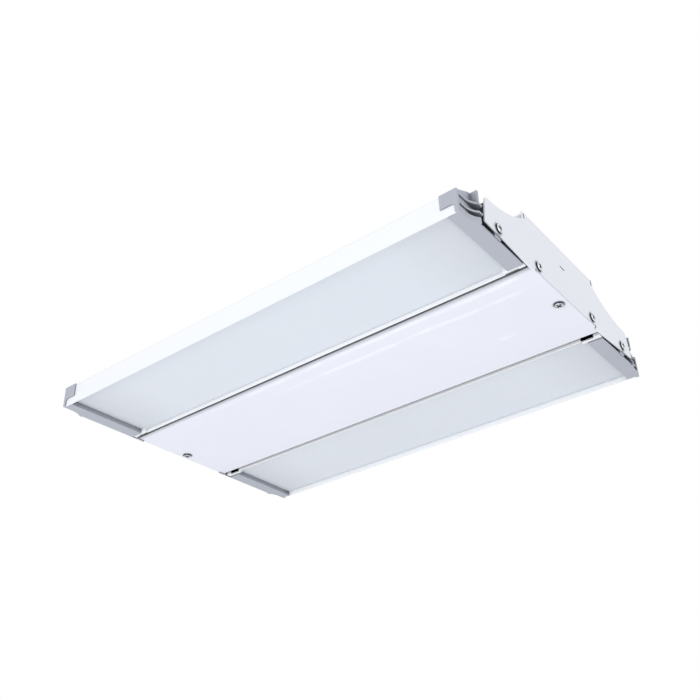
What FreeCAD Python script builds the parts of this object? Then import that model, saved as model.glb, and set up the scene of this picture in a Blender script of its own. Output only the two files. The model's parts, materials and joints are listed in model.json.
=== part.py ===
"""Linear high bay light: two finned LED modules either side of a driver channel.

X runs along the light, Y across it, Z up. The origin lies on the plane of the
lens rims, at the middle of the light. All sizes are millimetres.
"""
import FreeCAD, Part
import math
import os
import Sketcher

doc = FreeCAD.newDocument("HighBayLight")
dims = doc.addObject("Spreadsheet::Sheet", "Dims")

# Name, size in millimetres (or a count), and what it sets.
SIZES = {
    "fit_clearance": 0.3,  # gap between neighbouring parts that slide together
    "plate_span": 610,  # length over the two end plates
    "plate_thick": 1.5,  # end plate sheet
    "plate_inset": 35.4,  # end plate's foot inside the module's outer wall
    "plate_foot_outer": 6.5,  # height of the wing's lower edge at its tip
    "plate_foot_inner": 1.0,  # height of the wing's lower edge at its root
    "shoulder_slant": 5.5,  # outer top corners inside the foot
    "shoulder_corner": 5,  # rounding of the outer top corners
    "scallop_radius": 144.5,  # radius of the concave shoulders
    "scallop_inset": 8,  # scallop centre inside the plate's foot
    "scallop_height": 185.5,  # scallop centre above the rims
    "hump_overlap": 3.6,  # raised middle of a plate beyond the channel side
    "hump_top": 75,  # overall height
    "hump_corner": 3,  # rounding of the hump corners
    "bend_radius": 1.4,  # outside radius of a plate's upper fold
    "top_flange_depth": 20,  # plate's top flange, folded inwards
    "top_flange_relief": 5,  # relief at each end of the top flange
    "relief_depth": 9,  # depth of the top corner relief slots
    "relief_width": 2.2,  # width of the sheet relief slots
    "foot_inset": 11.4,  # plate's foot over the cover, inside the channel side
    "foot_flange_inset": 23,  # plate's lower flange inside that foot
    "foot_flange_depth": 20,  # plate's lower flange, folded inwards
    "foot_notch_height": 2.4,  # height of the relief at each end of the foot
    "drain_slot_length": 11,  # small slot in the middle of a plate
    "drain_slot_width": 2,  # width of that slot
    "drain_slot_height": 46,  # slot above the rims
    "screw_height": 12.4,  # plate screws above the rims
    "outer_screw_inset": 26,  # outer plate screws inside the plate's foot
    "inner_screw_inset": 17.4,  # inner plate screws inside the channel side
    "screw_shank": 4,  # screw shank diameter
    "screw_hole_clearance": 0.6,  # clearance hole over the shank
    "screw_pilot_clearance": 0.2,  # pilot hole over the shank
    "screw_length": 8,  # screw shank length
    "head_width": 14,  # screw head diameter, with its washer
    "head_top_width": 8,  # flat top of the screw head
    "head_height": 2.6,  # screw head height, with its washer
    "module_gap": 5.6,  # channel side to module
    "module_width": 119.4,  # module housing width
    "inner_rim": 1.4,  # inner rim wall
    "inner_rim_foot": 1.8,  # inner rim's lower edge above the outer rim's
    "outer_rim": 1.4,  # outer rim wall
    "lens_recess": 6.5,  # lens face above the rims
    "lens_thick": 3,  # lens sheet
    "gasket_thick": 1,  # gasket between lens and ledge
    "ledge_width": 4,  # ledge that the lens seats against
    "chamber_height": 7.2,  # LED chamber above the ledge
    "slab_thick": 4,  # heat sink base
    "outer_wall_top": 26,  # top of the outer side wall
    "fin_top": 39,  # top of the fins
    "fin_slope_width": 25,  # width over which the fins fall to the side wall
    "fin_thick": 1.8,  # fin thickness
    "fin_pitch": 9.5,  # fin spacing
    "fin_count": 11,  # fins between the side walls
    "shield_thick": 1.6,  # flange that closes the gap above the channel side
    "board_thick": 1.6,  # LED board
    "board_margin": 4,  # board edge to chamber wall
    "led_width": 5,  # LED package
    "led_height": 0.9,  # LED package above the board
    "led_rows": 3,  # rows of LEDs
    "led_row_pitch": 32,  # distance between the rows
    "led_count": 8,  # LEDs in a row
    "led_pitch": 70,  # LED spacing along a row
    "cap_wall": 2,  # end cap wall
    "cap_gap": 1.5,  # end cap foot to end plate
    "cap_foot_depth": 6,  # end cap foot beyond the cap's face
    "cap_foot_thick": 2,  # end cap foot
    "cap_top_margin": 1,  # end cap above the fins
    "cap_post_width": 3.4,  # upright post at the outer corner
    "cap_post_depth": 2,  # post beyond the cap's face
    "cap_tab_length": 18,  # side tab along the housing
    "cap_tab_thick": 1.4,  # side tab
    "cap_tab_corner": 4,  # rounding between the side tab and the end wall
    "cap_lip_height": 10,  # bare housing lip below the side tab
    "cap_rib_thick": 2.5,  # end cap rib thickness
    "cap_rib_root": 1.4,  # shelf ribs beyond the cap's face at their roots
    "cap_rib_reach": 8,  # shelf ribs beyond the cap's face at their tips
    "cap_rib_stop": 0.8,  # shelf ribs end this far outside the end plate
    "cap_low_thick": 6.5,  # solid lowest shelf, from the rims
    "cap_low_stop": 5,  # the lowest shelf ends this far outside the end plate
    "cap_lower_rib": 12,  # lower shelf rib above the rims
    "cap_upper_rib": 22.5,  # upper shelf rib above the rims
    "cap_flange_width": 10,  # cap flange across the end of the lens
    "cap_plug_length": 8,  # plug inside the LED chamber
    "cap_sweep_start": 12,  # rib sweep starts this far from the outer edge
    "cap_sweep_width": 16.5,  # width over which the ribs sweep out
    "cap_ear_offset": 5.5,  # outermost upright rib from the end plate's foot
    "cap_upright_start": 50,  # next upright rib from the outer edge
    "cap_upright_pitch": 17,  # spacing of the upright ribs
    "cap_upright_count": 4,  # upright ribs behind the end plate
    "boss_width": 10.4,  # screw boss width
    "boss_foot": 1,  # screw boss above the rims
    "boss_cover": 5.2,  # boss above the screw axis
    "channel_half": 80.4,  # half width of the driver channel
    "channel_thick": 1.2,  # driver channel sheet
    "channel_tab_width": 30,  # end tabs folded in from the channel walls
    "channel_tab_foot": 7.5,  # underside of the end tabs above the rims
    "hang_hole": 8,  # hanging hole diameter
    "hang_spacing_long": 420,  # hanging holes along the light
    "hang_spacing_wide": 120,  # hanging holes across the light
    "entry_hole": 22,  # cable entry diameter
    "entry_inset": 60,  # cable entry from the near plate's outer face
    "cover_height": 2.6,  # underside of the centre cover above the rims
    "cover_overhang": 0.1,  # centre cover's edge beyond the channel side
    "cover_thick": 1.2,  # centre cover sheet
    "cover_side": 12,  # folded sides of the cover
    "cover_fold_inner": 30.5,  # inner fold line of the cover from its edge
    "cover_fold_outer": 10.5,  # outer fold line of the cover from its edge
    "cover_fold_rise": 0.3,  # cover's outer fold line above its middle
    "cover_edge_rise": 0.6,  # cover's edge above its middle
    "cover_screw_inset": 10.5,  # cover screw from the plate's outer face
    "driver_length": 240,  # driver case length
    "driver_width": 60,  # driver case width
    "driver_height": 34,  # driver case height
    "driver_offset": 38,  # driver centre from the middle, across the light
    "driver_shift": -30,  # driver centre along the light
    "driver_corner": 3,  # driver case edge rounding
    "foot_length": 14,  # driver mounting foot
    "foot_thick": 1.5,  # driver mounting foot sheet
    "terminal_length": 26,  # terminal block along the light
    "terminal_width": 48,  # terminal block across the light
    "terminal_height": 20,  # terminal block height
    "terminal_inset": 135,  # terminal block from the near plate's outer face
    "bushing_flange": 3,  # bushing flange beyond the entry hole
    "bushing_flange_thick": 1.5,  # bushing flange thickness
    "bushing_wall": 2.4,  # bushing barrel wall
    "bushing_depth": 9,  # bushing barrel below the flange
}
for row, (alias, size) in enumerate(SIZES.items(), start=1):
    dims.set("A%d" % row, alias.replace("_", " "))
    dims.set("B%d" % row, str(size))
    dims.setAlias("B%d" % row, alias)
doc.recompute()


def number(formula):
    """Value of a formula now, to draw a sketch close to its final shape."""
    return float(dims.evalExpression(formula))


# Levels and lengths that follow from the named sizes.
PLATE_IN = "(Dims.plate_span / 2 - Dims.plate_thick)"
FOOT_FACE = "(%s - Dims.cap_gap)" % PLATE_IN
CAP_FACE = "(%s - Dims.cap_foot_depth)" % FOOT_FACE
HOUSING_END = "(%s - Dims.cap_wall)" % CAP_FACE
MODULE_INNER = "(Dims.channel_half + Dims.module_gap)"
OUTER = "(%s + Dims.module_width)" % MODULE_INNER
MODULE_MID = "(%s + Dims.module_width / 2)" % MODULE_INNER
PLATE_HALF = "(%s - Dims.plate_inset)" % OUTER
SHOULDER_HALF = "(%s - Dims.shoulder_slant)" % PLATE_HALF
HUMP_HALF = "(Dims.channel_half + Dims.hump_overlap)"
FOOT_HALF = "(Dims.channel_half - Dims.foot_inset)"
FLANGE_HALF = "(%s - Dims.foot_flange_inset)" % FOOT_HALF
OUTER_SCREW = "(%s - Dims.outer_screw_inset)" % PLATE_HALF
INNER_SCREW = "(Dims.channel_half - Dims.inner_screw_inset)"
COVER_HALF = "(Dims.channel_half + Dims.cover_overhang)"
LENS_TOP = "(Dims.lens_recess + Dims.lens_thick)"
LEDGE = "(%s + Dims.gasket_thick)" % LENS_TOP
SLAB = "(%s + Dims.chamber_height)" % LEDGE
SLAB_TOP = "(%s + Dims.slab_thick)" % SLAB
CAP_TOP = "(Dims.fin_top + Dims.cap_top_margin)"
COVER_TOP = "(Dims.cover_height + Dims.cover_thick)"
CHANNEL_FOOT = "(%s + Dims.cover_edge_rise)" % COVER_TOP
CHANNEL_TOP = "(Dims.hump_top - Dims.plate_thick)"
CHANNEL_ROOF = "(%s - Dims.channel_thick)" % CHANNEL_TOP
CHANNEL_IN = "(Dims.channel_half - Dims.channel_thick)"
TERMINAL_MID = "Dims.plate_span / 2 - Dims.terminal_inset"


def new_body(label):
    body = doc.addObject("PartDesign::Body", "Body_" + label)
    body.Label = label
    return body


def plane_of(body, role):
    for feature in body.Origin.OriginFeatures:
        if feature.Role == role:
            return feature
    raise ValueError(role)


def new_sketch(body, role, offset="0"):
    """Sketch on an origin plane, moved along the plane's normal."""
    sketch = body.newObject("Sketcher::SketchObject", "Sketch")
    sketch.AttachmentSupport = [(plane_of(body, role), "")]
    sketch.MapMode = "FlatFace"
    sketch.setExpression(".AttachmentOffset.Base.z", offset)
    return sketch


def place_point(sketch, edge, end, point, guess):
    """Tie one coordinate pair to its formulas; None leaves it to the shape."""
    for name, formula, start in zip(("DistanceX", "DistanceY"), point, guess):
        if formula is None:
            continue
        index = sketch.addConstraint(
            Sketcher.Constraint(name, -1, 1, edge, end, start))
        sketch.setExpression("Constraints[%d]" % index, formula)


def outline(sketch, points, arcs=None):
    """Closed outline through points given as formulas.

    arcs maps an edge number to (centre x, centre y, radius, low), all but the
    last formulas: that edge is an arc, on the low or high side of its centre.
    A corner of an arc may leave one coordinate as None, for the arc to set.
    """
    arcs = arcs or {}
    count = len(points)
    guesses = [[None if f is None else number(f) for f in p] for p in points]
    for edge, (cx, cy, radius, low) in arcs.items():
        centre = (number(cx), number(cy))
        for corner in (edge, (edge + 1) % count):
            if None in guesses[corner]:
                free = guesses[corner].index(None)
                across = guesses[corner][1 - free] - centre[1 - free]
                rise = math.sqrt(number(radius) ** 2 - across ** 2)
                guesses[corner][free] = centre[free] + (-rise if low else rise)
    ends = []
    for edge in range(count):
        first = FreeCAD.Vector(guesses[edge][0], guesses[edge][1], 0)
        last = guesses[(edge + 1) % count]
        last = FreeCAD.Vector(last[0], last[1], 0)
        if edge not in arcs:
            sketch.addGeometry(Part.LineSegment(first, last))
            ends.append((1, 2))
            continue
        cx, cy, radius, low = arcs[edge]
        centre = FreeCAD.Vector(number(cx), number(cy), 0)
        circle = Part.Circle(centre, FreeCAD.Vector(0, 0, 1), number(radius))
        angles = [math.atan2(p.y - centre.y, p.x - centre.x) % (2 * math.pi)
                  for p in (first, last)]
        forward = (angles[1] - angles[0]) % (2 * math.pi) < math.pi
        ends.append((1, 2) if forward else (2, 1))
        if not forward:
            angles.reverse()
        if angles[1] < angles[0]:
            angles[1] += 2 * math.pi
        sketch.addGeometry(Part.ArcOfCircle(circle, angles[0], angles[1]))
    for edge in range(count):
        after = (edge + 1) % count
        sketch.addConstraint(Sketcher.Constraint(
            "Coincident", edge, ends[edge][1], after, ends[after][0]))
    for edge, (cx, cy, radius, low) in arcs.items():
        place_point(sketch, edge, 3, (cx, cy), (number(cx), number(cy)))
        index = sketch.addConstraint(
            Sketcher.Constraint("Radius", edge, number(radius)))
        sketch.setExpression("Constraints[%d]" % index, radius)
    for corner, point in enumerate(points):
        place_point(sketch, corner, ends[corner][0], point, guesses[corner])
    return sketch


def rectangle(sketch, x0, x1, y0, y1):
    return outline(sketch, [(x0, y0), (x1, y0), (x1, y1), (x0, y1)])


def circle(sketch, x, y, diameter):
    centre = FreeCAD.Vector(number(x), number(y), 0)
    edge = sketch.addGeometry(Part.Circle(
        centre, FreeCAD.Vector(0, 0, 1), number(diameter) / 2))
    index = sketch.addConstraint(
        Sketcher.Constraint("Diameter", edge, number(diameter)))
    sketch.setExpression("Constraints[%d]" % index, diameter)
    place_point(sketch, edge, 3, (x, y), (centre.x, centre.y))
    return sketch


def pad(body, sketch, length, backwards=False, middle=False):
    feature = body.newObject("PartDesign::Pad", "Pad")
    feature.Profile = sketch
    feature.setExpression("Length", length)
    feature.Reversed = backwards
    if middle:
        feature.SideType = "Symmetric"
    return feature


def pocket(body, sketch, length, forwards=False, middle=False):
    """Cut against the sketch's normal, or along it when forwards is set."""
    feature = body.newObject("PartDesign::Pocket", "Pocket")
    feature.Profile = sketch
    feature.setExpression("Length", length)
    feature.Reversed = forwards
    if middle:
        feature.SideType = "Symmetric"
    return feature


def row_of(body, feature, role, length, count, backwards=False):
    """Repeat a feature along one of the body's own axes."""
    pattern = body.newObject("PartDesign::LinearPattern", "Row")
    pattern.Originals = [feature]
    pattern.Direction = (plane_of(body, role), [""])
    pattern.setExpression("Length", length)
    pattern.setExpression("Occurrences", count)
    pattern.Reversed = backwards
    body.Tip = pattern
    return pattern


def pick_edges(feature, test, crosswise):
    """Names of the edges whose ends pass the test; crosswise, only along X."""
    doc.recompute()
    names = []
    for index, edge in enumerate(feature.Shape.Edges, start=1):
        points = [vertex.Point for vertex in edge.Vertexes]
        if len(points) != 2 or not all(test(point) for point in points):
            continue
        if not crosswise or abs(points[0].y - points[1].y) < 0.01:
            names.append("Edge%d" % index)
    return names


def near(value, formula):
    return abs(value - number(formula)) < 0.05


def round_edges(body, feature, test, radius, crosswise=True):
    fillet = body.newObject("PartDesign::Fillet", "Fillet")
    fillet.Base = (feature, pick_edges(feature, test, crosswise))
    fillet.setExpression("Radius", radius)
    body.Tip = fillet
    return fillet


def sided(side, formula):
    return "%d * (%s)" % (side, formula)


def module_housing(label, side):
    """Extruded heat sink: rims and lens ledges below, fins above."""
    body = new_body(label)
    rim_in = MODULE_INNER + " + Dims.inner_rim"
    rim_out = OUTER + " - Dims.outer_rim"
    section = [
        (MODULE_INNER, "Dims.inner_rim_foot"),
        (rim_in, "Dims.inner_rim_foot"),
        (rim_in, LEDGE),
        (rim_in + " + Dims.ledge_width", LEDGE),
        (rim_in + " + Dims.ledge_width", SLAB),
        (rim_out + " - Dims.ledge_width", SLAB),
        (rim_out + " - Dims.ledge_width", LEDGE),
        (rim_out, LEDGE),
        (rim_out, "0"),
        (OUTER, "0"),
        (OUTER, "Dims.outer_wall_top"),
        (rim_out, "Dims.outer_wall_top"),
        (rim_out, SLAB_TOP),
        (rim_in, SLAB_TOP),
        (rim_in, "Dims.fin_top"),
        ("Dims.channel_half + Dims.fit_clearance", "Dims.fin_top"),
        ("Dims.channel_half + Dims.fit_clearance", "Dims.fin_top - Dims.shield_thick"),
        (MODULE_INNER, "Dims.fin_top - Dims.shield_thick"),
    ]
    sketch = new_sketch(body, "YZ_Plane")
    outline(sketch, [(sided(side, y), z) for y, z in section])
    pad(body, sketch, "2 * " + HOUSING_END, middle=True)
    first = "%s - (Dims.fin_count - 1) * Dims.fin_pitch / 2" % MODULE_MID
    sketch = new_sketch(body, "YZ_Plane")
    rectangle(sketch, sided(side, first + " - Dims.fin_thick / 2"),
              sided(side, first + " + Dims.fin_thick / 2"),
              SLAB_TOP + " - Dims.slab_thick / 2", "Dims.fin_top")
    fin = pad(body, sketch, "2 * " + HOUSING_END, middle=True)
    row_of(body, fin, "Y_Axis", "(Dims.fin_count - 1) * Dims.fin_pitch", "Dims.fin_count",
           backwards=side < 0)
    sketch = new_sketch(body, "YZ_Plane")
    slope = [
        (rim_out, "Dims.outer_wall_top"),
        (rim_out, "Dims.fin_top + Dims.slab_thick"),
        (OUTER + " - Dims.fin_slope_width", "Dims.fin_top + Dims.slab_thick"),
        (OUTER + " - Dims.fin_slope_width", "Dims.fin_top"),
    ]
    outline(sketch, [(sided(side, y), z) for y, z in slope])
    body.Tip = pocket(body, sketch, "2 * " + HOUSING_END, middle=True)
    return body


def lens(label, side):
    body = new_body(label)
    sketch = new_sketch(body, "XY_Plane", "Dims.lens_recess")
    rectangle(sketch, "-" + HOUSING_END, HOUSING_END,
              sided(side, MODULE_INNER + " + Dims.inner_rim + Dims.fit_clearance"),
              sided(side, OUTER + " - Dims.outer_rim - Dims.fit_clearance"))
    pad(body, sketch, "Dims.lens_thick")
    return body


def lens_gasket(label, side):
    """Flat ring between the lens and the ledges of its housing."""
    body = new_body(label)
    inner = MODULE_INNER + " + Dims.inner_rim + Dims.fit_clearance"
    outer = OUTER + " - Dims.outer_rim - Dims.fit_clearance"
    sketch = new_sketch(body, "XY_Plane", LENS_TOP)
    rectangle(sketch, "-" + HOUSING_END, HOUSING_END, sided(side, inner),
              sided(side, outer))
    pad(body, sketch, "Dims.gasket_thick")
    sketch = new_sketch(body, "XY_Plane", LENS_TOP)
    end = "%s - Dims.cap_plug_length" % HOUSING_END
    rectangle(sketch, "-(%s)" % end, end,
              sided(side, inner + " + Dims.ledge_width - Dims.fit_clearance"),
              sided(side, outer + " - Dims.ledge_width + Dims.fit_clearance"))
    pocket(body, sketch, "Dims.gasket_thick", forwards=True)
    return body


def led_board(label, side):
    """Board under the heat sink base, with its rows of LED packages."""
    body = new_body(label)
    inset = "Dims.ledge_width + Dims.board_margin"
    end = "%s - Dims.cap_plug_length - Dims.board_margin" % HOUSING_END
    level = "%s - Dims.board_thick" % SLAB
    sketch = new_sketch(body, "XY_Plane", level)
    rectangle(sketch, "-(%s)" % end, end,
              sided(side, MODULE_INNER + " + Dims.inner_rim + " + inset),
              sided(side, "%s - Dims.outer_rim - (%s)" % (OUTER, inset)))
    pad(body, sketch, "Dims.board_thick")
    sketch = new_sketch(body, "XY_Plane", level)
    start = "-(Dims.led_count - 1) * Dims.led_pitch / 2"
    lane = "%s - (Dims.led_rows - 1) * Dims.led_row_pitch / 2" % MODULE_MID
    rectangle(sketch, start + " - Dims.led_width / 2", start + " + Dims.led_width / 2",
              sided(side, lane + " - Dims.led_width / 2"),
              sided(side, lane + " + Dims.led_width / 2"))
    led = pad(body, sketch, "Dims.led_height", backwards=True)
    grid = body.newObject("PartDesign::MultiTransform", "Grid")
    grid.Originals = [led]
    steps = []
    for role, length, count, back in (
            ("X_Axis", "(Dims.led_count - 1) * Dims.led_pitch", "Dims.led_count", False),
            ("Y_Axis", "(Dims.led_rows - 1) * Dims.led_row_pitch", "Dims.led_rows", side < 0)):
        step = body.newObject("PartDesign::LinearPattern", "Step")
        step.Direction = (plane_of(body, role), [""])
        step.setExpression("Length", length)
        step.setExpression("Occurrences", count)
        step.Reversed = back
        steps.append(step)
    grid.Transformations = steps
    body.Tip = grid
    return body


def end_cap(label, end, side):
    """Moulded cap over the end of a housing, with swept shelf ribs."""
    body = new_body(label)
    rear = end < 0

    def across(formula):
        return sided(side, formula)

    def along(formula):
        return sided(end, formula)

    tab_face = OUTER + " + Dims.cap_tab_thick"
    tab_top = "Dims.outer_wall_top + Dims.cap_top_margin"
    sketch = new_sketch(body, "YZ_Plane", along(HOUSING_END))
    outline(sketch, [(across(y), z) for y, z in [
        (MODULE_INNER, "0"),
        (tab_face, "0"),
        (tab_face, tab_top),
        (OUTER + " - Dims.fin_slope_width", CAP_TOP),
        (MODULE_INNER, CAP_TOP),
    ]])
    pad(body, sketch, "Dims.cap_wall", backwards=rear)
    # Side tab on the outer wall, above the bare lip of the housing.
    sketch = new_sketch(body, "YZ_Plane", along(HOUSING_END))
    rectangle(sketch, across(OUTER), across(tab_face), "Dims.cap_lip_height", tab_top)
    tab = pad(body, sketch, "Dims.cap_tab_length - Dims.cap_wall", backwards=not rear)
    round_edges(
        body, tab,
        lambda p: near(abs(p.x), HOUSING_END) and near(p.z, "Dims.cap_lip_height"),
        "Dims.cap_tab_corner", crosswise=False)
    # Flange across the end of the lens, between the rims.
    sketch = new_sketch(body, "YZ_Plane", along(HOUSING_END))
    rectangle(sketch, across(MODULE_INNER + " + Dims.inner_rim + Dims.fit_clearance"),
              across(OUTER + " - Dims.outer_rim - Dims.fit_clearance"), "0",
              "Dims.lens_recess")
    pad(body, sketch, "Dims.cap_flange_width", backwards=not rear)
    # Plug that closes the LED chamber.
    sketch = new_sketch(body, "YZ_Plane", along(HOUSING_END))
    inset = "Dims.ledge_width + Dims.fit_clearance"
    rectangle(sketch, across(MODULE_INNER + " + Dims.inner_rim + " + inset),
              across("%s - Dims.outer_rim - (%s)" % (OUTER, inset)), LEDGE,
              SLAB + " - Dims.fit_clearance")
    pad(body, sketch, "Dims.cap_plug_length", backwards=not rear)
    # Post at the outer corner.
    sketch = new_sketch(body, "YZ_Plane", along(CAP_FACE))
    rectangle(sketch, across(tab_face + " - Dims.cap_post_width"), across(tab_face), "0",
              tab_top)
    pad(body, sketch, "Dims.cap_post_depth", backwards=rear)
    # Foot and shelves, which sweep out from the post towards the plate.
    low_end = PLATE_HALF + " + Dims.cap_low_stop"
    rib_end = PLATE_HALF + " + Dims.cap_rib_stop"
    start = OUTER + " - Dims.cap_sweep_start"
    post = tab_face + " - Dims.cap_post_width / 2"
    for level, thick, root, tip, stop in (
            ("0", "Dims.cap_foot_thick", "Dims.cap_post_depth", "Dims.cap_foot_depth",
             MODULE_INNER + " + Dims.cap_post_width"),
            ("0", "Dims.cap_low_thick", "Dims.cap_post_depth", "Dims.cap_rib_reach",
             low_end),
            ("Dims.cap_lower_rib", "Dims.cap_rib_thick", "Dims.cap_rib_root",
             "Dims.cap_rib_reach", rib_end),
            ("Dims.cap_upper_rib", "Dims.cap_rib_thick", "Dims.cap_rib_root",
             "Dims.cap_rib_reach", rib_end)):
        depth = "(%s - %s)" % (tip, root)
        radius = "((Dims.cap_sweep_width ^ 2 + %s ^ 2) / (2 * %s))" % (depth, depth)
        root_face = "%s + %s" % (CAP_FACE, root)
        tip_face = "%s + %s" % (CAP_FACE, tip)
        sketch = new_sketch(body, "XY_Plane", level)
        outline(sketch, [
            (along(CAP_FACE + " - Dims.cap_wall / 2"), across(post)),
            (along(root_face), across(post)),
            (None, across(start)),
            (None, across(start + " - Dims.cap_sweep_width")),
            (along(tip_face), across(stop)),
            (along(CAP_FACE + " - Dims.cap_wall / 2"), across(stop)),
        ], {2: (along("%s + %s" % (root_face, radius)), across(start), radius, not rear)})
        pad(body, sketch, thick)
    # Ear that stands on the upper shelf beside the end plate.
    ear = PLATE_HALF + " + Dims.cap_ear_offset"
    sketch = new_sketch(body, "YZ_Plane", along(CAP_FACE))
    rectangle(sketch, across(ear), across(ear + " + Dims.cap_rib_thick"),
              "Dims.cap_upper_rib + Dims.cap_rib_thick / 2", CAP_TOP)
    pad(body, sketch, "Dims.cap_rib_reach", backwards=rear)
    # Upright ribs behind the end plate.
    first = OUTER + " - Dims.cap_upright_start"
    sketch = new_sketch(body, "YZ_Plane", along(CAP_FACE))
    rectangle(sketch, across(first), across(first + " + Dims.cap_rib_thick"),
              "Dims.cap_upper_rib", CAP_TOP)
    upright = pad(body, sketch, "Dims.cap_foot_depth", backwards=rear)
    row_of(body, upright, "Y_Axis",
           "(Dims.cap_upright_count - 1) * Dims.cap_upright_pitch",
           "Dims.cap_upright_count", backwards=side > 0)
    # Boss that carries the plate screw and spaces the cap off the plate.
    sketch = new_sketch(body, "YZ_Plane", along(CAP_FACE))
    rectangle(sketch, across(OUTER_SCREW + " - Dims.boss_width / 2"),
              across(OUTER_SCREW + " + Dims.boss_width / 2"), "Dims.boss_foot",
              "Dims.screw_height + Dims.boss_cover")
    pad(body, sketch, "Dims.cap_foot_depth + Dims.cap_gap", backwards=rear)
    sketch = new_sketch(body, "YZ_Plane", along(PLATE_IN))
    circle(sketch, across(OUTER_SCREW), "Dims.screw_height",
           "Dims.screw_shank + Dims.screw_pilot_clearance")
    body.Tip = pocket(body, sketch, "Dims.screw_length - Dims.plate_thick",
                      forwards=rear)
    return body


def end_plate(label, end):
    """Folded sheet: scalloped shoulders, hump, and two inward flanges."""
    body = new_body(label)
    rear = end < 0

    def along(formula):
        return sided(end, formula)

    notch = FOOT_HALF + " + Dims.relief_width"
    foot_end = "%s + Dims.cover_fold_rise" % COVER_TOP
    scallop = PLATE_HALF + " - Dims.scallop_inset"
    half = [
        (FLANGE_HALF, COVER_TOP),
        (FOOT_HALF, foot_end),
        (FOOT_HALF, foot_end + " + Dims.foot_notch_height"),
        (notch, foot_end + " + Dims.foot_notch_height"),
        (notch, "Dims.plate_foot_inner"),
        (MODULE_INNER + " + Dims.inner_rim", "Dims.plate_foot_inner"),
        (PLATE_HALF, "Dims.plate_foot_outer"),
        (SHOULDER_HALF, None),
        (HUMP_HALF, None),
        (HUMP_HALF, "Dims.hump_top"),
    ]
    right = [(y, z) for y, z in half]
    left = [(sided(-1, y), z) for y, z in reversed(half)]
    count = len(half)
    arcs = {
        count - 3: (scallop, "Dims.scallop_height", "Dims.scallop_radius", True),
        count + 1: (sided(-1, scallop), "Dims.scallop_height", "Dims.scallop_radius", True),
    }
    sketch = new_sketch(body, "YZ_Plane", along(PLATE_IN))
    outline(sketch, right + left, arcs)
    sheet = pad(body, sketch, "Dims.plate_thick", backwards=rear)
    shape = round_edges(
        body, sheet,
        lambda p: near(abs(p.y), SHOULDER_HALF), "Dims.shoulder_corner")
    round_edges(
        body, shape,
        lambda p: near(abs(p.y), HUMP_HALF) and near(p.z, "Dims.hump_top"),
        "Dims.hump_corner")
    # Top flange, folded inwards over the channel.
    sketch = new_sketch(body, "YZ_Plane", along(PLATE_IN))
    edge = HUMP_HALF + " - Dims.top_flange_relief"
    rectangle(sketch, sided(-1, edge), edge, CHANNEL_TOP, "Dims.hump_top")
    pad(body, sketch, "Dims.top_flange_depth", backwards=not rear)
    for side in (-1, 1):
        sketch = new_sketch(body, "YZ_Plane", along(PLATE_IN))
        rectangle(sketch, sided(side, edge),
                  sided(side, edge + " + Dims.relief_width"),
                  "Dims.hump_top - Dims.relief_depth", "Dims.hump_top + Dims.plate_thick")
        slot = pocket(body, sketch, "Dims.plate_thick", forwards=not rear)
    round_edges(
        body, slot,
        lambda p: (near(abs(p.x), "Dims.plate_span / 2") and near(p.z, "Dims.hump_top")
                   and near(abs(p.y), edge)),
        "Dims.bend_radius", crosswise=False)
    # Lower flange, folded inwards on top of the cover.
    sketch = new_sketch(body, "YZ_Plane", along(PLATE_IN))
    rectangle(sketch, "-" + FLANGE_HALF, FLANGE_HALF, COVER_TOP,
              COVER_TOP + " + Dims.plate_thick")
    pad(body, sketch, "Dims.foot_flange_depth", backwards=not rear)
    sketch = new_sketch(body, "XY_Plane")
    circle(sketch, along("Dims.plate_span / 2 - Dims.cover_screw_inset"), "0",
           "Dims.screw_shank + Dims.screw_pilot_clearance")
    pocket(body, sketch, COVER_TOP + " + Dims.plate_thick * 2", forwards=True)
    sketch = new_sketch(body, "YZ_Plane", along("Dims.plate_span / 2"))
    for offset in (OUTER_SCREW, INNER_SCREW):
        for side in (-1, 1):
            circle(sketch, sided(side, offset), "Dims.screw_height",
                   "Dims.screw_shank + Dims.screw_hole_clearance")
    pocket(body, sketch, "Dims.plate_thick", forwards=rear)
    sketch = new_sketch(body, "YZ_Plane", along("Dims.plate_span / 2"))
    rectangle(sketch, "-Dims.drain_slot_length / 2", "Dims.drain_slot_length / 2",
              "Dims.drain_slot_height - Dims.drain_slot_width / 2",
              "Dims.drain_slot_height + Dims.drain_slot_width / 2")
    body.Tip = pocket(body, sketch, "Dims.plate_thick", forwards=rear)
    return body


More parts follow.
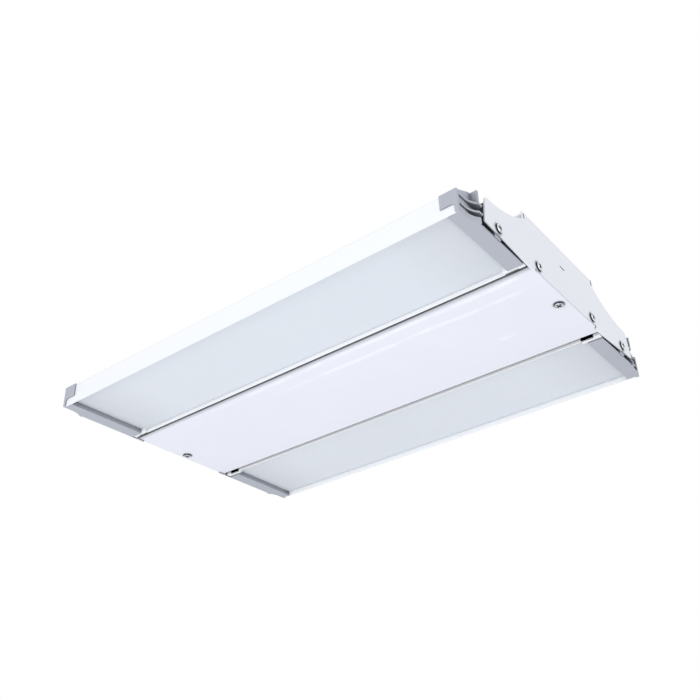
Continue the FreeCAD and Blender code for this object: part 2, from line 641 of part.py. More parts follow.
def driver_channel(label):
    """Folded roof channel with end tabs for the inner plate screws."""
    body = new_body(label)
    foot = CHANNEL_FOOT
    sketch = new_sketch(body, "YZ_Plane")
    outline(sketch, [
        ("-Dims.channel_half", foot),
        ("-" + CHANNEL_IN, foot),
        ("-" + CHANNEL_IN, CHANNEL_ROOF),
        (CHANNEL_IN, CHANNEL_ROOF),
        (CHANNEL_IN, foot),
        ("Dims.channel_half", foot),
        ("Dims.channel_half", CHANNEL_TOP),
        ("-Dims.channel_half", CHANNEL_TOP),
    ])
    pad(body, sketch, "2 * " + PLATE_IN, middle=True)
    for end in (-1, 1):
        for side in (-1, 1):
            sketch = new_sketch(body, "YZ_Plane", sided(end, PLATE_IN))
            rectangle(sketch, sided(side, CHANNEL_IN + " - Dims.channel_tab_width"),
                      sided(side, "Dims.channel_half"), "Dims.channel_tab_foot",
                      CHANNEL_TOP + " - Dims.relief_depth")
            pad(body, sketch, "Dims.channel_thick", backwards=end > 0)
        sketch = new_sketch(body, "YZ_Plane", sided(end, PLATE_IN))
        for side in (-1, 1):
            circle(sketch, sided(side, INNER_SCREW), "Dims.screw_height",
                   "Dims.screw_shank + Dims.screw_pilot_clearance")
        pocket(body, sketch, "Dims.channel_thick", forwards=end < 0)
    sketch = new_sketch(body, "XY_Plane", CHANNEL_TOP)
    for end in (-1, 1):
        for side in (-1, 1):
            circle(sketch, sided(end, "Dims.hang_spacing_long / 2"),
                   sided(side, "Dims.hang_spacing_wide / 2"), "Dims.hang_hole")
    circle(sketch, "Dims.plate_span / 2 - Dims.entry_inset", "0", "Dims.entry_hole")
    body.Tip = pocket(body, sketch, "Dims.channel_thick")
    return body


def centre_cover(label):
    """Crowned tray between the modules, folded along two lines on each side."""
    body = new_body(label)
    end = "%s - Dims.fit_clearance" % PLATE_IN
    tongue = "Dims.plate_span / 2 - Dims.fit_clearance"
    side_in = CHANNEL_IN + " - Dims.fit_clearance - Dims.cover_thick"
    lower = [
        (COVER_HALF + " - Dims.cover_fold_inner", "Dims.cover_height"),
        (COVER_HALF + " - Dims.cover_fold_outer",
         "Dims.cover_height + Dims.cover_fold_rise"),
        (COVER_HALF, "Dims.cover_height + Dims.cover_edge_rise"),
    ]
    right = lower + [(y, z + " + Dims.cover_thick") for y, z in reversed(lower)]
    left = [(sided(-1, y), z) for y, z in reversed(right)]
    sketch = new_sketch(body, "YZ_Plane")
    outline(sketch, right + left)
    pad(body, sketch, "2 * (%s)" % tongue, middle=True)
    # Only the tongue under the foot of each end plate keeps the full length.
    for side in (-1, 1):
        for far in (-1, 1):
            sketch = new_sketch(body, "XY_Plane", COVER_TOP + " + Dims.cover_side")
            rectangle(sketch, sided(far, end), sided(far, "Dims.plate_span / 2"),
                      sided(side, FOOT_HALF + " - Dims.fit_clearance"),
                      sided(side, COVER_HALF + " + Dims.fit_clearance"))
            pocket(body, sketch, COVER_TOP + " + Dims.cover_side")
    stop = "%s - Dims.channel_thick - Dims.fit_clearance" % PLATE_IN
    for side in (-1, 1):
        sketch = new_sketch(body, "XY_Plane", COVER_TOP)
        rectangle(sketch, "-(%s)" % stop, stop, sided(side, side_in),
                  sided(side, side_in + " + Dims.cover_thick"))
        pad(body, sketch, "Dims.cover_side")
    sketch = new_sketch(body, "XY_Plane", COVER_TOP)
    for side in (-1, 1):
        circle(sketch, sided(side, "Dims.plate_span / 2 - Dims.cover_screw_inset"), "0",
               "Dims.screw_shank + Dims.screw_hole_clearance")
    body.Tip = pocket(body, sketch, "Dims.cover_thick")
    return body


def screw(label, axis, placement):
    """Washer head screw; its seat is the local origin.

    The shank points along local -Z. The placement's three formulas are bound
    to the body, so the screw follows the part that it holds.
    """
    body = new_body(label)
    sketch = new_sketch(body, "XZ_Plane")
    outline(sketch, [
        ("0", "-Dims.screw_length"),
        ("Dims.screw_shank / 2", "-Dims.screw_length"),
        ("Dims.screw_shank / 2", "0"),
        ("Dims.head_width / 2", "0"),
        ("Dims.head_top_width / 2", "Dims.head_height"),
        ("0", "Dims.head_height"),
    ])
    turn = body.newObject("PartDesign::Revolution", "Turned")
    turn.Profile = sketch
    turn.ReferenceAxis = (sketch, ["V_Axis"])
    turn.Angle = 360
    body.Tip = turn
    body.Placement = FreeCAD.Placement(FreeCAD.Vector(), axis)
    for name, formula in zip("xyz", placement):
        body.setExpression(".Placement.Base." + name, formula)
    return body


def driver_case(label, side):
    """LED driver under the channel roof, with a mounting foot at each end."""
    body = new_body(label)
    half = "Dims.driver_length / 2"
    sketch = new_sketch(body, "XY_Plane", CHANNEL_ROOF)
    rectangle(sketch, "Dims.driver_shift - " + half, "Dims.driver_shift + " + half,
              sided(side, "Dims.driver_offset - Dims.driver_width / 2"),
              sided(side, "Dims.driver_offset + Dims.driver_width / 2"))
    case = pad(body, sketch, "Dims.driver_height", backwards=True)
    round_edges(body, case,
                lambda p: near(p.z, "%s - Dims.driver_height" % CHANNEL_ROOF),
                "Dims.driver_corner", crosswise=False)
    sketch = new_sketch(body, "XY_Plane", CHANNEL_ROOF)
    foot = "Dims.driver_width / 4"
    reach = "(%s + Dims.foot_length)" % half
    rectangle(sketch, "Dims.driver_shift - " + reach, "Dims.driver_shift + " + reach,
              sided(side, "Dims.driver_offset - " + foot),
              sided(side, "Dims.driver_offset + " + foot))
    body.Tip = pad(body, sketch, "Dims.foot_thick", backwards=True)
    return body


def terminal_block(label):
    """Terminal block under the channel roof."""
    body = new_body(label)
    sketch = new_sketch(body, "XY_Plane", CHANNEL_ROOF)
    rectangle(sketch, TERMINAL_MID + " - Dims.terminal_length / 2",
              TERMINAL_MID + " + Dims.terminal_length / 2",
              "-Dims.terminal_width / 2", "Dims.terminal_width / 2")
    pad(body, sketch, "Dims.terminal_height", backwards=True)
    return body


def entry_bushing(label):
    """Snap-in bushing that lines the cable entry in the channel roof."""
    body = new_body(label)
    bore = "Dims.entry_hole / 2 - Dims.bushing_wall"
    barrel = "Dims.entry_hole / 2 - Dims.fit_clearance"
    flange = "Dims.entry_hole / 2 + Dims.bushing_flange"
    sketch = new_sketch(body, "XZ_Plane")
    outline(sketch, [
        (bore, CHANNEL_TOP + " + Dims.bushing_flange_thick"),
        (bore, CHANNEL_TOP + " - Dims.bushing_depth"),
        (barrel, CHANNEL_TOP + " - Dims.bushing_depth"),
        (barrel, CHANNEL_TOP),
        (flange, CHANNEL_TOP),
        (flange, CHANNEL_TOP + " + Dims.bushing_flange_thick"),
    ])
    turn = body.newObject("PartDesign::Revolution", "Turned")
    turn.Profile = sketch
    turn.ReferenceAxis = (sketch, ["V_Axis"])
    turn.Angle = 360
    body.Tip = turn
    body.setExpression(".Placement.Base.x", "Dims.plate_span / 2 - Dims.entry_inset")
    return body


SIDES = (("left", -1), ("right", 1))
ENDS = (("near", 1), ("far", -1))
DOWNWARD = FreeCAD.Rotation(FreeCAD.Vector(1, 0, 0), 180)
parts = []
for name, side in SIDES:
    parts.append(module_housing(name + "_housing", side))
    parts.append(lens(name + "_lens", side))
    parts.append(lens_gasket(name + "_gasket", side))
    parts.append(led_board(name + "_led_board", side))
    parts.append(driver_case(name + "_driver", side))
for end_name, end in ENDS:
    outward = FreeCAD.Rotation(FreeCAD.Vector(0, 1, 0), 90 * end)
    parts.append(end_plate(end_name + "_end_plate", end))
    for name, side in SIDES:
        parts.append(end_cap("%s_%s_cap" % (end_name, name), end, side))
        for place, offset in (("outer", OUTER_SCREW), ("inner", INNER_SCREW)):
            spot = (sided(end, "Dims.plate_span / 2"), sided(side, offset),
                    "Dims.screw_height")
            parts.append(screw("%s_%s_%s_screw" % (end_name, name, place),
                               outward, spot))
    spot = (sided(end, "Dims.plate_span / 2 - Dims.cover_screw_inset"), "0",
            "Dims.cover_height")
    parts.append(screw(end_name + "_cover_screw", DOWNWARD, spot))
parts.append(driver_channel("driver_channel"))
parts.append(centre_cover("centre_cover"))
parts.append(terminal_block("terminal_block"))
parts.append(entry_bushing("entry_bushing"))

doc.recompute()
for item in doc.Objects:
    if "Invalid" in item.State or "Error" in item.State:
        raise RuntimeError("%s failed: %s" % (item.Label, item.State))
for item in parts:
    if item.Shape.isNull() or not item.Shape.isValid() or not item.Shape.Solids:
        raise RuntimeError("%s has no valid solid" % item.Label)
os.makedirs("parts", exist_ok=True)
for item in parts:
    item.Shape.exportStep("parts/%s.step" % item.Label)
print("%d pieces written" % len(parts))
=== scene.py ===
"""High bay light, seen from below: finishes, rounded edges and small fasteners.

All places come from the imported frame, in metres: X along the light, Y across
it, Z up, with z = 0 on the plane of the lens rims.
"""
import json
import math
import bmesh
import bpy
from mathutils import Matrix, Vector


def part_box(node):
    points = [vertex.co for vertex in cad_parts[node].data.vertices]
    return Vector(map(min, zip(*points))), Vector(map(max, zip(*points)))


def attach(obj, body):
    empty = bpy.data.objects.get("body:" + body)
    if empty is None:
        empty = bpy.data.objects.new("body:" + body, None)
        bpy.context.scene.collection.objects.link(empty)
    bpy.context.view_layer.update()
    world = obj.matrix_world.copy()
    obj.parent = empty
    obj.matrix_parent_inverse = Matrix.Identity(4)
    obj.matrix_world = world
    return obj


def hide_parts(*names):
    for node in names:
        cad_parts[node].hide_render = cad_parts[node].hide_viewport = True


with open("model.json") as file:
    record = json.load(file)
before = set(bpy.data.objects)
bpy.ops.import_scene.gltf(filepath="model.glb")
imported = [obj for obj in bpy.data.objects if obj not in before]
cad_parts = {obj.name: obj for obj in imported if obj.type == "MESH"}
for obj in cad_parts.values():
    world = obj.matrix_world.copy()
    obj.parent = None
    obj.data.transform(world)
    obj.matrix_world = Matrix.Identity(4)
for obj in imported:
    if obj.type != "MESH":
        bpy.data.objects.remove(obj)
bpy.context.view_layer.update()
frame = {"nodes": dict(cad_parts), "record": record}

MM = 0.001

# Camera: where it stands, and its right, up and backward directions.
CAMERA_PLACE = (0.61153, -0.77410, -0.53820)
CAMERA_RIGHT = (0.78819, 0.61472, -0.02949)
CAMERA_UP = (0.33501, -0.38837, 0.85845)
CAMERA_BACK = (0.51625, -0.68651, -0.51205)
CAMERA_LENS = 45.99
CAMERA_SHIFT = (-0.0224, 0.0103)
CAMERA_SENSOR = 36
CAMERA_CLIP = 0.02
FLOOR_LEVEL, FLOOR_SIZE = -1.6, 14
# Disk lamps that face the light: place, diameter and power.
LAMPS = {"side_lamp": ((0.25, -1.75, -0.5), 0.9, 8.5),
         "end_lamp": ((2.6, 0.5, 0.2), 1.6, 9),
         "low_lamp": ((0.0, -0.5, -1.4), 1.2, 6)}
LAMP_AIM = Vector((0, 0, 0.03))
# The colour sockets of a Mix node, which share their names with others.
MIX_A, MIX_B, MIX_RESULT = 6, 7, 2


# ---------------------------------------------------------------- materials

def rgba(tone):
    """Four channels from a colour of three, or from one grey."""
    return (tuple(tone) if hasattr(tone, "__len__") else (tone,) * 3) + (1,)


class Shader:
    """A material's node tree, with short calls to add and join nodes."""

    def __init__(self, name):
        self.material = bpy.data.materials.new(name)
        self.material.use_nodes = True
        self.tree = self.material.node_tree
        self.surface = self.tree.nodes["Principled BSDF"]
        self.place = self.add("ShaderNodeTexCoord").outputs["Object"]

    def add(self, kind, **values):
        node = self.tree.nodes.new(kind)
        for key, value in values.items():
            setattr(node, key, value)
        return node

    def join(self, output, socket):
        self.tree.links.new(output, socket)

    def put(self, value, socket):
        """Join an output to a socket, or set a constant there."""
        if hasattr(value, "is_linked"):
            self.join(value, socket)
        else:
            socket.default_value = value

    def fixed(self, **values):
        """Constant values on the surface's own sockets."""
        for key, value in values.items():
            self.surface.inputs[key.replace("_", " ")].default_value = value

    def stretched(self, scale):
        node = self.add("ShaderNodeMapping")
        node.inputs["Scale"].default_value = scale
        self.join(self.place, node.inputs["Vector"])
        return node.outputs["Vector"]

    def noise(self, scale, detail=3.0, rough=0.5, place=None):
        node = self.add("ShaderNodeTexNoise")
        node.inputs["Scale"].default_value = scale
        node.inputs["Detail"].default_value = detail
        node.inputs["Roughness"].default_value = rough
        self.join(place or self.place, node.inputs["Vector"])
        return node.outputs["Fac"]

    def ramp(self, factor, low, high, start=0.0, end=1.0):
        """Spread a factor between two values or two colours."""
        node = self.add("ShaderNodeValToRGB")
        first, last = node.color_ramp.elements
        first.position, last.position = start, end
        first.color, last.color = rgba(low), rgba(high)
        self.join(factor, node.inputs["Fac"])
        return node.outputs["Color"]

    def tint(self, colour, factor, shade):
        """Multiply a colour by a factor's ramp, down to the shade."""
        node = self.add("ShaderNodeMix", data_type="RGBA", blend_type="MULTIPLY")
        node.inputs["Factor"].default_value = 1.0
        if not hasattr(colour, "is_linked"):
            colour = rgba(colour)
        self.put(colour, node.inputs[MIX_A])
        self.join(self.ramp(factor, shade, 1.0, 0.3, 0.7), node.inputs[MIX_B])
        return node.outputs[MIX_RESULT]

    def along(self, axis):
        """One coordinate of the object's own space."""
        node = self.add("ShaderNodeSeparateXYZ")
        self.join(self.place, node.inputs["Vector"])
        return node.outputs[axis]

    def math(self, operation, *values):
        node = self.add("ShaderNodeMath", operation=operation)
        for socket, value in zip(node.inputs, values):
            self.put(value, socket)
        return node.outputs["Value"]

    def spread(self, value, start, end, low, high):
        """Ease from low at the start to high at the end."""
        node = self.add("ShaderNodeMapRange", interpolation_type="SMOOTHSTEP")
        for name, number in (("From Min", start), ("From Max", end),
                             ("To Min", low), ("To Max", high)):
            node.inputs[name].default_value = number
        self.join(value, node.inputs["Value"])
        return node.outputs["Result"]

    def times(self, colour, tone):
        """Multiply a colour by one number."""
        node = self.add("ShaderNodeVectorMath", operation="SCALE")
        self.put(colour, node.inputs[0])
        self.join(tone, node.inputs["Scale"])
        return node.outputs["Vector"]

    def painted_crevice_shade(self, reach, shade, start=0.35):
        """Painted shade: darker where other surfaces close in within the reach."""
        node = self.add("ShaderNodeAmbientOcclusion", samples=16)
        node.inputs["Distance"].default_value = reach
        return self.spread(node.outputs["AO"], start, 1.0, shade, 1.0)

    def bump(self, height, strength, distance, normal=None):
        node = self.add("ShaderNodeBump")
        node.inputs["Strength"].default_value = strength
        node.inputs["Distance"].default_value = distance
        self.join(height, node.inputs["Height"])
        if normal:
            self.join(normal, node.inputs["Normal"])
        return node.outputs["Normal"]

    def set(self, socket, output):
        self.join(output, self.surface.inputs[socket])


def powder_coat(name, colour, peel=0.10, rough=(0.34, 0.46), crevice_shade=0.5,
                painted_light=None):
    """White polyester powder: fine orange peel and a soft satin sheen, with painted
    shade in its crevices.
    """
    shader = Shader(name)
    mottle = shader.noise(9.0, 4.0, 0.6)
    specks = shader.noise(420.0, 2.0, 0.5)
    tone = shader.tint(shader.tint(colour, mottle, 0.975), specks, 0.985)
    # Painted shade: darker in crevices within 9 mm.
    tone = shader.times(tone, shader.painted_crevice_shade(9 * MM, crevice_shade))
    # Painted light and shade given by the caller, such as the cover's streak highlights
    # and edge shade.
    if painted_light:
        tone = shader.times(tone, painted_light(shader))
    shader.set("Base Color", tone)
    shader.set("Roughness", shader.ramp(shader.noise(60.0), rough[0], rough[1]))
    fine = shader.bump(shader.noise(1500.0, 2.0), peel, 0.06 * MM)
    shader.set("Normal", shader.bump(shader.noise(350.0, 2.0), peel, 0.12 * MM, fine))
    shader.fixed(IOR=1.5)
    return shader.material


def cover_painted_light(shader):
    """Painted light on the cover: painted highlights along its folds, in broken
    streaks, and painted shade at its left edge.
    """
    wander = shader.spread(shader.noise(9.0, 2.0), 0.3, 0.7, -1.6 * MM, 1.6 * MM)
    across = shader.math("ADD", shader.along("Y"), wander)
    along = shader.along("X")
    # Painted shade: darker within 7 mm of the cover's left edge.
    from_left_edge = shader.math("ADD", shader.along("Y"), COVER_EDGE)
    total = shader.spread(from_left_edge, 0.0, 7 * MM, 0.62, 1.0)
    # Painted highlights: broken bright streaks of reflected light along the folds.
    for place, start, end, gain in PAINTED_FOLD_HIGHLIGHTS:
        offset = shader.math("ABSOLUTE", shader.math("SUBTRACT", across, place))
        painted_highlight = shader.spread(offset, 0.8 * MM, 4.5 * MM, gain, 0.0)
        near = shader.spread(along, end - 8 * MM, end, 1.0, 0.0)
        far = shader.spread(along, start, start + 0.4 * (end - start), 0.0, 1.0)
        broken = shader.spread(shader.noise(26.0, 3.0), 0.36, 0.56, 0.35, 1.0)
        for mask in (near, far, broken):
            painted_highlight = shader.math("MULTIPLY", painted_highlight, mask)
        total = shader.math("ADD", painted_highlight, total)
    return total


def extruded_coat(name, colour):
    """The same powder over an extrusion, with faint draw lines along X, and painted
    shade in crevices and along the outer wall's top edge.
    """
    shader = Shader(name)
    mottle = shader.noise(7.0, 4.0, 0.6)
    lines = shader.noise(700.0, 2.0, 0.6, shader.stretched((0.01, 1.0, 1.0)))
    tone = shader.tint(shader.tint(colour, mottle, 0.98), lines, 0.99)
    # Painted shade: darker in crevices within 6 mm.
    tone = shader.times(tone, shader.painted_crevice_shade(6 * MM, 0.88))
    # Painted shade: a darker band along the outer wall's top edge.
    top_edge_shade = shader.spread(shader.along("Z"), WALL_TOP - 1.2 * MM,
                             WALL_TOP - 0.3 * MM, 1.0, 0.86)
    shader.set("Base Color", shader.times(tone, top_edge_shade))
    shader.set("Roughness", shader.ramp(shader.noise(50.0), 0.33, 0.45))
    draw = shader.bump(lines, 0.12, 0.04 * MM)
    shader.set("Normal", shader.bump(shader.noise(900.0, 2.0), 0.10, 0.08 * MM, draw))
    shader.fixed(IOR=1.5)
    return shader.material


def frosted_acrylic(name, colour):
    """Translucent diffuser: light scatters inside and its face is sanded."""
    shader = Shader(name)
    cloud = shader.noise(5.0, 3.0, 0.5)
    tone = shader.tint(colour, cloud, 0.985)
    # Painted shade: the diffuser darkens towards the end caps and in its crevices.
    to_end = shader.math("ABSOLUTE", shader.along("X"))
    tone = shader.times(tone, shader.spread(to_end, 0.18, 0.29, 1.0, 0.89))
    shader.set("Base Color", shader.times(tone, shader.painted_crevice_shade(9 * MM, 0.84)))
    shader.set("Roughness", shader.ramp(shader.noise(140.0), 0.46, 0.58))
    shader.set("Normal", shader.bump(shader.noise(2600.0, 2.0), 0.20, 0.03 * MM))
    shader.fixed(IOR=1.49, Subsurface_Weight=0.25, Subsurface_Scale=2.5 * MM,
                 Subsurface_Radius=(1.0, 1.0, 1.05))
    return shader.material


def moulded_plastic(name, colour, rough=(0.42, 0.56), grain=0.18):
    """Satin moulded plastic with a fine spark-eroded grain."""
    shader = Shader(name)
    flow = shader.noise(24.0, 4.0, 0.6)
    grit = shader.noise(1300.0, 3.0, 0.6)
    tone = shader.tint(shader.tint(colour, flow, 0.95), grit, 0.97)
    # Painted shade: darker in crevices and slots within 20 mm.
    shader.set("Base Color", shader.times(tone, shader.painted_crevice_shade(20 * MM, 0.22, 0.15)))
    shader.set("Roughness", shader.ramp(shader.noise(90.0), rough[0], rough[1]))
    shader.set("Normal", shader.bump(grit, grain, 0.05 * MM))
    shader.fixed(IOR=1.5)
    return shader.material


def bright_zinc(name, colour):
    """Zinc plate on a screw: bright crown, with painted shade darkening the cross
    recess and the foot groove.
    """
    shader = Shader(name)
    height = shader.along("Z")
    radius = shader.math("SQRT", shader.math(
        "ADD", shader.math("POWER", shader.along("X"), 2.0),
        shader.math("POWER", shader.along("Y"), 2.0)))
    blotch = shader.noise(330.0, 3.0, 0.7)
    tone = shader.tint(colour, blotch, 0.62)
    # Painted shade: dark at the foot of the head and on the outer rim of the washer.
    foot = shader.spread(shader.math("ABSOLUTE", shader.math(
        "SUBTRACT", radius, HEAD_RADIUS)), 0.2 * MM, 0.7 * MM, 0.08, 1.0)
    rim = shader.spread(radius, WASHER_RADIUS - 0.5 * MM,
                        WASHER_RADIUS - 0.1 * MM, 1.0, 0.45)
    # Painted shade: dark in the cross recess.
    recess = shader.math("MULTIPLY",
                         shader.spread(height, RECESS_FLOOR, RECESS_EDGE, 1.0, 0.0),
                         shader.spread(radius, RECESS_REACH, RECESS_REACH + 0.3 * MM,
                                       1.0, 0.0))
    recess = shader.spread(recess, 0.0, 1.0, 1.0, 0.04)
    for mask in (foot, rim, recess):
        tone = shader.times(tone, mask)
    shader.set("Base Color", tone)
    shader.set("Roughness", shader.ramp(shader.noise(900.0), 0.18, 0.36))
    shader.set("Normal", shader.bump(shader.noise(3200.0, 2.0), 0.15, 0.02 * MM))
    shader.fixed(Metallic=1.0)
    return shader.material


def brushed_metal(name, colour):
    shader = Shader(name)
    grain = shader.noise(1600.0, 3.0, 0.6, shader.stretched((0.02, 1.0, 1.0)))
    shader.set("Base Color", shader.tint(colour, grain, 0.88))
    shader.set("Roughness", shader.ramp(grain, 0.30, 0.46))
    shader.set("Normal", shader.bump(grain, 0.15, 0.03 * MM))
    shader.fixed(Metallic=1.0)
    return shader.material


def soft_rubber(name, colour):
    shader = Shader(name)
    dust = shader.noise(300.0, 3.0, 0.6)
    shader.set("Base Color", shader.tint(colour, dust, 0.85))
    shader.set("Roughness", shader.ramp(dust, 0.6, 0.8))
    shader.set("Normal", shader.bump(shader.noise(1500.0), 0.2, 0.05 * MM))
    return shader.material


def board_with_leds(name, board, phosphor, level):
    """White solder mask; the packages below the board's face are yellow."""
    shader = Shader(name)
    below = shader.math("LESS_THAN", shader.along("Z"), level)
    mix = shader.add("ShaderNodeMix", data_type="RGBA")
    shader.join(below, mix.inputs["Factor"])
    shader.join(shader.tint(board, shader.noise(40.0), 0.95), mix.inputs[MIX_A])
    shader.join(shader.tint(phosphor, shader.noise(600.0), 0.9), mix.inputs[MIX_B])
    shader.set("Base Color", mix.outputs[MIX_RESULT])
    shader.set("Roughness", shader.ramp(shader.noise(200.0), 0.35, 0.5))
    return shader.material


WALL_TOP = 26 * MM  # the housing's outer wall
COVER_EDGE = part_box("centre_cover")[1][1]
LED_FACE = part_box("left_led_board")[1][2] - 1.7 * MM  # the packages lie below it
# The inner rim's run through a cap: width of its foot, lower and upper level.
RIM_FOOT, RIM_LEVEL, RIM_RUN = 6.5 * MM, 1.8 * MM, 12 * MM
RIM_OVERLAP, RIM_PLAY, RIM_END_PLAY = 0.3 * MM, 0.1 * MM, 0.5 * MM
NOTCH_WALL = 1.4 * MM  # what a cap keeps past its notch
# Pan-head screws: washer, head and cross recess.
WASHER_RADIUS, WASHER_THICK = 6.95 * MM, 0.6 * MM
HEAD_RADIUS, HEAD_HEIGHT = 5.5 * MM, 2.55 * MM
CROWN_FOOT, ROUNDING = 0.55 * MM, 0.1 * MM
RECESS_REACH, RECESS_FLOOR, RECESS_EDGE = 3.7 * MM, 1.2 * MM, 2.1 * MM
RECESS_HALF = 0.85 * MM
SHANK_RADIUS, SHANK_LENGTH = 2 * MM, 8 * MM
# Painted highlights on the cover's folds: place across, start and end along, gain.
PAINTED_FOLD_HIGHLIGHTS = ((-71 * MM, -0.26, 0.291, 0.09), (-49 * MM, -0.12, 0.282, 0.10),
                (22 * MM, 0.203, 0.234, 0.08))

MATERIALS = {
    "housing_white": extruded_coat("housing_white", (0.88, 0.895, 0.92)),
    "plate_white": powder_coat("plate_white", (0.82, 0.84, 0.895), crevice_shade=0.25),
    "channel_white": powder_coat("channel_white", (0.80, 0.82, 0.86), crevice_shade=0.15),
    "cover_white": powder_coat("cover_white", (0.808, 0.824, 0.90), 0.06,
                               crevice_shade=0.9, painted_light=cover_painted_light),
    "lens_frosted": frosted_acrylic("lens_frosted", (0.70, 0.735, 0.79)),
    "cap_grey": moulded_plastic("cap_grey", (0.44, 0.46, 0.52)),
    "screw_zinc": bright_zinc("screw_zinc", (0.82, 0.86, 0.90)),
    "gasket_rubber": soft_rubber("gasket_rubber", (0.30, 0.31, 0.33)),
    "board_white": board_with_leds("board_white", (0.85, 0.86, 0.84),
                                   (0.85, 0.62, 0.12), LED_FACE),
    "driver_case": brushed_metal("driver_case", (0.72, 0.73, 0.75)),
    "terminal_plastic": moulded_plastic("terminal_plastic", (0.80, 0.78, 0.72)),
    "bushing_black": moulded_plastic("bushing_black", (0.03, 0.03, 0.032)),
}


# ------------------------------------------------------------ CAD node materials and rounded edges

def dress(piece, width, segments=2):
    """Round a piece's sharp edges with modifiers; its own mesh stays as it is."""
    flat = piece.modifiers.new("flat", "DECIMATE")
    flat.decimate_type = "DISSOLVE"
    flat.angle_limit = math.radians(0.5)
    bevel = piece.modifiers.new("edges", "BEVEL")
    bevel.width = width
    bevel.segments = segments
    bevel.limit_method = "ANGLE"
    bevel.angle_limit = math.radians(35)
    bevel.harden_normals = True
    bevel.use_clamp_overlap = True


SLOTS = {part["node"]: part["material_slot"]
         for part in frame["record"]["subparts"]}
for node, piece in frame["nodes"].items():
    material = MATERIALS[SLOTS[node]]
    if not piece.material_slots:
        piece.data.materials.append(material)
    for holder in piece.material_slots:
        holder.material = material

EDGE_WIDTHS = {"housing": 0.5, "lens": 0.4, "end_plate": 0.35,
               "cover": 0.35, "channel": 0.35}
for node, piece in frame["nodes"].items():
    for ending, width in EDGE_WIDTHS.items():
        if node.endswith(ending):
            dress(piece, width * MM)


# ----------------------------------------------------------- caps and screws

def placed(name, data):
    """A new object in the scene."""
    piece = bpy.data.objects.new(name, data)
    bpy.context.collection.objects.link(piece)
    return piece


def as_piece(name, shape):
    """A new object from a finished shape, which is freed."""
    bmesh.ops.recalc_face_normals(shape, faces=shape.faces)
    mesh = bpy.data.meshes.new(name)
    shape.to_mesh(mesh)
    shape.free()
    return placed(name, mesh)


def revolved(name, profile, steps=48):
    """A closed solid turned about Z from (radius, height) points."""
    shape = bmesh.new()
    turns = [2 * math.pi * step / steps for step in range(steps)]
    rings = []
    for radius, height in profile:
        if radius:
            rings.append([shape.verts.new((radius * math.cos(turn),
                                           radius * math.sin(turn), height))
                          for turn in turns])
        else:
            rings.append([shape.verts.new((0, 0, height))])
    for lower, upper in zip(rings, rings[1:]):
        for step in range(steps):
            after = (step + 1) % steps
            if len(lower) == 1:
                corners = (lower[0], upper[after], upper[step])
            elif len(upper) == 1:
                corners = (lower[step], lower[after], upper[0])
            else:
                corners = (lower[step], lower[after], upper[after], upper[step])
            shape.faces.new(corners)
    return as_piece(name, shape)


def prism(name, outline, low, high):
    """A straight solid over an outline in X and Y."""
    shape = bmesh.new()
    base = shape.faces.new([shape.verts.new((x, y, low)) for x, y in outline])
    raised = bmesh.ops.extrude_face_region(shape, geom=[base])
    tops = [item for item in raised["geom"] if isinstance(item, bmesh.types.BMVert)]
    bmesh.ops.translate(shape, verts=tops, vec=(0, 0, high - low))
    return as_piece(name, shape)


def carve(piece, cutter):
    """Cut the cutter out of the piece's own mesh."""
    cut = piece.modifiers.new("cut", "BOOLEAN")
    cut.operation, cut.solver, cut.object = "DIFFERENCE", "EXACT", cutter
    bpy.context.view_layer.update()
    evaluated = piece.evaluated_get(bpy.context.evaluated_depsgraph_get())
    carved = bpy.data.meshes.new_from_object(evaluated)
    piece.modifiers.clear()
    piece.data = carved
    bpy.data.objects.remove(cutter)


def cross_outline(reach, half):
    """A plus sign's corners, anticlockwise."""
    arm = [(half, half), (half, reach), (-half, reach)]
    corners = []
    for quarter in range(4):
        turn = Matrix.Rotation(quarter * math.pi / 2, 2)
        corners += [tuple(turn @ Vector(corner)) for corner in arm]
    return corners


def pan_screw():
    """Pan head on a flat washer, with a cross recess and a plain shank."""
    foot = WASHER_THICK + CROWN_FOOT
    crown = [(HEAD_RADIUS * math.cos(rise),
              foot + (HEAD_HEIGHT - foot) * math.sin(rise))
             for rise in (math.radians(angle) for angle in range(0, 90, 9))]
    profile = [(0, -SHANK_LENGTH), (SHANK_RADIUS - 0.5 * MM, -SHANK_LENGTH),
               (SHANK_RADIUS, -SHANK_LENGTH + 0.5 * MM), (SHANK_RADIUS, 0),
               (WASHER_RADIUS - ROUNDING, 0), (WASHER_RADIUS, ROUNDING),
               (WASHER_RADIUS, WASHER_THICK - ROUNDING),
               (WASHER_RADIUS - ROUNDING, WASHER_THICK),
               (HEAD_RADIUS - 0.3 * MM, WASHER_THICK)] + crown + [(0, HEAD_HEIGHT)]
    screw = revolved("screw_shape", profile)
    carve(screw, prism("recess", cross_outline(RECESS_REACH - 0.2 * MM, RECESS_HALF),
                       RECESS_FLOOR, HEAD_HEIGHT + MM))
    for face in screw.data.polygons:
        face.use_smooth = True
    screw.data.set_sharp_from_angle(angle=math.radians(32))
    shape = screw.data
    bpy.data.objects.remove(screw)
    return shape


def corner_outline(end, side, xs, ys):
    """A rectangle in X and Y, in the quarter that the signs end and side name."""
    low_x, high_x = sorted(end * x for x in xs)
    low_y, high_y = sorted(side * y for y in ys)
    return [(low_x, low_y), (high_x, low_y), (high_x, high_y), (low_x, high_y)]


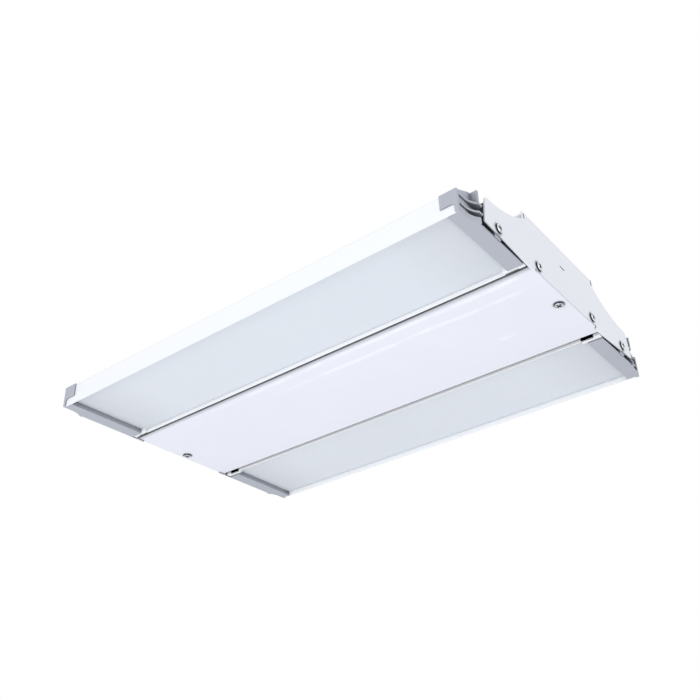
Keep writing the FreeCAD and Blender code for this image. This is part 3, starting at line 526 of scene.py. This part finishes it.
def carved_cap(node):
    """The end cap with a notch, and the housing's inner rim run through it."""
    low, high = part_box(node)
    end = 1 if low[0] > 0 else -1
    side = 1 if low[1] > 0 else -1
    inner = min(abs(low[1]), abs(high[1]))
    start, stop = sorted((abs(low[0]), abs(high[0])))
    cap = placed(node + "_notched", frame["nodes"][node].data.copy())
    notch = corner_outline(end, side, (start - MM, stop - NOTCH_WALL),
                           (inner - MM, inner + RIM_FOOT))
    carve(cap, prism("notch", notch, -MM, RIM_RUN))
    run = corner_outline(end, side,
                         (start - RIM_OVERLAP, stop - NOTCH_WALL - RIM_END_PLAY),
                         (inner, inner + RIM_FOOT - RIM_PLAY))
    rim = prism(node + "_rim_run", run, RIM_LEVEL, RIM_RUN - RIM_PLAY)
    rim.data.materials.append(MATERIALS["housing_white"])
    return cap, rim


for node in [name for name in frame["nodes"] if name.endswith("_cap")]:
    cap, rim = carved_cap(node)
    dress(cap, 0.5 * MM)
    dress(rim, 0.25 * MM)
    for piece in (cap, rim):
        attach(piece, "root")
    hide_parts(node)

SCREW_SHAPE = pan_screw()
SCREW_SHAPE.materials.clear()
SCREW_SHAPE.materials.append(MATERIALS["screw_zinc"])
SCREW_NODES = [node for node in frame["nodes"] if node.endswith("_screw")]
for order, node in enumerate(SCREW_NODES):
    low, high = (Vector(corner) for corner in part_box(node))
    middle = (low + high) / 2
    if "cover" in node:
        seat = Vector((middle.x, middle.y, HEAD_HEIGHT + 0.05 * MM))
        outward = Vector((0, 0, -1))
    else:
        side = 1 if middle.x > 0 else -1
        seat = Vector((side * (max(abs(low.x), abs(high.x)) - HEAD_HEIGHT - 0.05 * MM),
                       middle.y, middle.z))
        outward = Vector((side, 0, 0))
    piece = placed(node + "_detailed", SCREW_SHAPE)
    spin = Matrix.Rotation(math.radians(23 + 37 * order), 4, "Z")
    piece.matrix_world = (Matrix.Translation(seat)
                          @ outward.to_track_quat("Z", "Y").to_matrix().to_4x4() @ spin)
    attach(piece, "root")
    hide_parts(node)


# ------------------------------------------------------------------- staging

def white_where_seen(tree, shader_socket, colour):
    """White for camera, mirror and glass rays; the colour for lighting."""
    rays = tree.nodes.new("ShaderNodeLightPath")
    seen = None
    for name in ("Is Camera Ray", "Is Glossy Ray", "Is Transmission Ray"):
        if seen is None:
            seen = rays.outputs[name]
            continue
        top = tree.nodes.new("ShaderNodeMath")
        top.operation = "MAXIMUM"
        tree.links.new(seen, top.inputs[0])
        tree.links.new(rays.outputs[name], top.inputs[1])
        seen = top.outputs["Value"]
    mix = tree.nodes.new("ShaderNodeMix")
    mix.data_type = "RGBA"
    tree.links.new(seen, mix.inputs["Factor"])
    mix.inputs[MIX_A].default_value = colour
    mix.inputs[MIX_B].default_value = (1, 1, 1, 1)
    tree.links.new(mix.outputs[MIX_RESULT], shader_socket)


world = bpy.data.worlds.new("studio")
bpy.context.scene.world = world
world.use_nodes = True
background = world.node_tree.nodes["Background"]
white_where_seen(world.node_tree, background.inputs["Color"], (0.78, 0.79, 0.81, 1))

bpy.ops.mesh.primitive_plane_add(size=FLOOR_SIZE, location=(0, 0, FLOOR_LEVEL))
floor = bpy.context.object
floor.name = "floor"
floor_paint = Shader("floor_paint")
floor_paint.set("Base Color", floor_paint.tint((0.90, 0.90, 0.90),
                                               floor_paint.noise(2.0), 0.985))
floor_paint.fixed(Roughness=0.7)
floor.data.materials.append(floor_paint.material)


def area_lamp(name, place, size, power):
    """A disk lamp that faces the light."""
    data = bpy.data.lights.new(name, "AREA")
    data.shape, data.size, data.energy = "DISK", size, power
    lamp = placed(name, data)
    lamp.location = place
    turn = (Vector(place) - LAMP_AIM).to_track_quat("Z", "Y")
    lamp.rotation_euler = turn.to_euler()


for lamp_name, setting in LAMPS.items():
    area_lamp(lamp_name, *setting)

camera_data = bpy.data.cameras.new("camera")
camera = placed("camera", camera_data)
camera_data.sensor_width = CAMERA_SENSOR
camera_data.lens = CAMERA_LENS
camera_data.shift_x, camera_data.shift_y = CAMERA_SHIFT
camera_data.clip_start = CAMERA_CLIP
axes = Matrix((CAMERA_RIGHT, CAMERA_UP, CAMERA_BACK)).transposed()
camera.matrix_world = Matrix.Translation(CAMERA_PLACE) @ axes.to_4x4()
bpy.context.scene.camera = camera

bpy.context.scene.view_settings.view_transform = "Standard"
